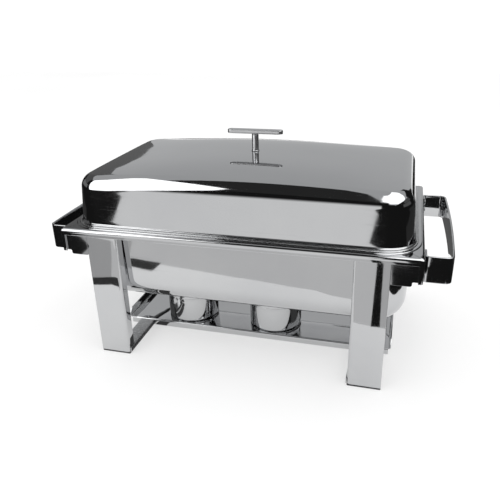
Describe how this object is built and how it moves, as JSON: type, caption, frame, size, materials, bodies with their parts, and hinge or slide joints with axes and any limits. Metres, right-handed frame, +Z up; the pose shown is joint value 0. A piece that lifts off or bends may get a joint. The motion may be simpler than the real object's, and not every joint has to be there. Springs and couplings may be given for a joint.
{
  "type": "chafing dish",
  "caption": "Rectangular stainless steel food warmer: domed lift-off lid, food pan in a water pan, stand with strap handles, and fuel holders on a low shelf.",
  "frame": {"origin": "middle of the footprint, on the table under the feet", "axes": "+X along the length to the right-hand handle, +Y from front to back, +Z up"},
  "size_m": [0.638, 0.338, 0.3518],
  "materials": {
    "mirror_steel": "mirror polished stainless steel",
    "satin_steel": "satin stainless steel",
    "pan_steel": "fine brushed stainless steel",
    "tinplate": "bright tinplate",
    "gel_fuel": "clear blue gel",
    "foot_rubber": "matt"
  },
  "bodies": {
    "stand": {"front_rail": "mirror_steel", "back_rail": "mirror_steel", "left_end_rail": "mirror_steel", "left_handle": "mirror_steel", "left_shelf_rail": "satin_steel", "left_handle_rivet_front_upper": "satin_steel", "left_handle_rivet_front_lower": "satin_steel", "left_handle_rivet_back_upper": "satin_steel", "left_handle_rivet_back_lower": "satin_steel", "leg_front_left": "mirror_steel", "foot_pad_front_left": "foot_rubber", "corner_plate_front_left": "mirror_steel", "leg_back_left": "mirror_steel", "foot_pad_back_left": "foot_rubber", "corner_plate_back_left": "mirror_steel", "right_end_rail": "mirror_steel", "right_handle": "mirror_steel", "right_shelf_rail": "satin_steel", "right_handle_rivet_front_upper": "satin_steel", "right_handle_rivet_front_lower": "satin_steel", "right_handle_rivet_back_upper": "satin_steel", "right_handle_rivet_back_lower": "satin_steel", "leg_front_right": "mirror_steel", "foot_pad_front_right": "foot_rubber", "corner_plate_front_right": "mirror_steel", "leg_back_right": "mirror_steel", "foot_pad_back_right": "foot_rubber", "corner_plate_back_right": "mirror_steel", "fuel_shelf": "mirror_steel"},
    "water_pan": {"water_pan_body": "mirror_steel", "water_pan_rim": "mirror_steel"},
    "food_pan": {"food_pan_body": "pan_steel", "food_pan_rim": "pan_steel"},
    "lid": {"lid_shell": "mirror_steel", "lid_handle_post": "mirror_steel", "lid_handle_bar": "mirror_steel", "lid_washer": "satin_steel", "lid_nut": "satin_steel"},
    "fuel_holder_left": {"fuel_holder_left": "mirror_steel", "fuel_can_left": "tinplate", "fuel_gel_left": "gel_fuel", "damper_pivot_left": "satin_steel"},
    "damper_left": {"damper_cover_left": "satin_steel"},
    "fuel_holder_right": {"fuel_holder_right": "mirror_steel", "fuel_can_right": "tinplate", "fuel_gel_right": "gel_fuel", "damper_pivot_right": "satin_steel"},
    "damper_right": {"damper_cover_right": "satin_steel"}
  },
  "joints": [
    {"name": "water_pan_lift", "type": "slide", "parent": "stand", "child": "water_pan", "axis": [0, 0, 1], "range_m": [0, 0.15]},
    {"name": "food_pan_lift", "type": "slide", "parent": "water_pan", "child": "food_pan", "axis": [0, 0, 1], "range_m": [0, 0.12]},
    {"name": "lid_lift", "type": "slide", "parent": "food_pan", "child": "lid", "axis": [0, 0, 1], "range_m": [0, 0.25]},
    {"name": "fuel_holder_left_slide", "type": "slide", "parent": "stand", "child": "fuel_holder_left", "axis": [0, -1, 0], "range_m": [0, 0.14]},
    {"name": "damper_left_swing", "type": "hinge", "parent": "fuel_holder_left", "child": "damper_left", "pos_m": [-0.118, 0.029, 0.0722], "axis": [0, 0, 1], "range_deg": [0, 110]},
    {"name": "fuel_holder_right_slide", "type": "slide", "parent": "stand", "child": "fuel_holder_right", "axis": [0, -1, 0], "range_m": [0, 0.14]},
    {"name": "damper_right_swing", "type": "hinge", "parent": "fuel_holder_right", "child": "damper_right", "pos_m": [0.038, 0.029, 0.0722], "axis": [0, 0, 1], "range_deg": [0, 110]}
  ]
}
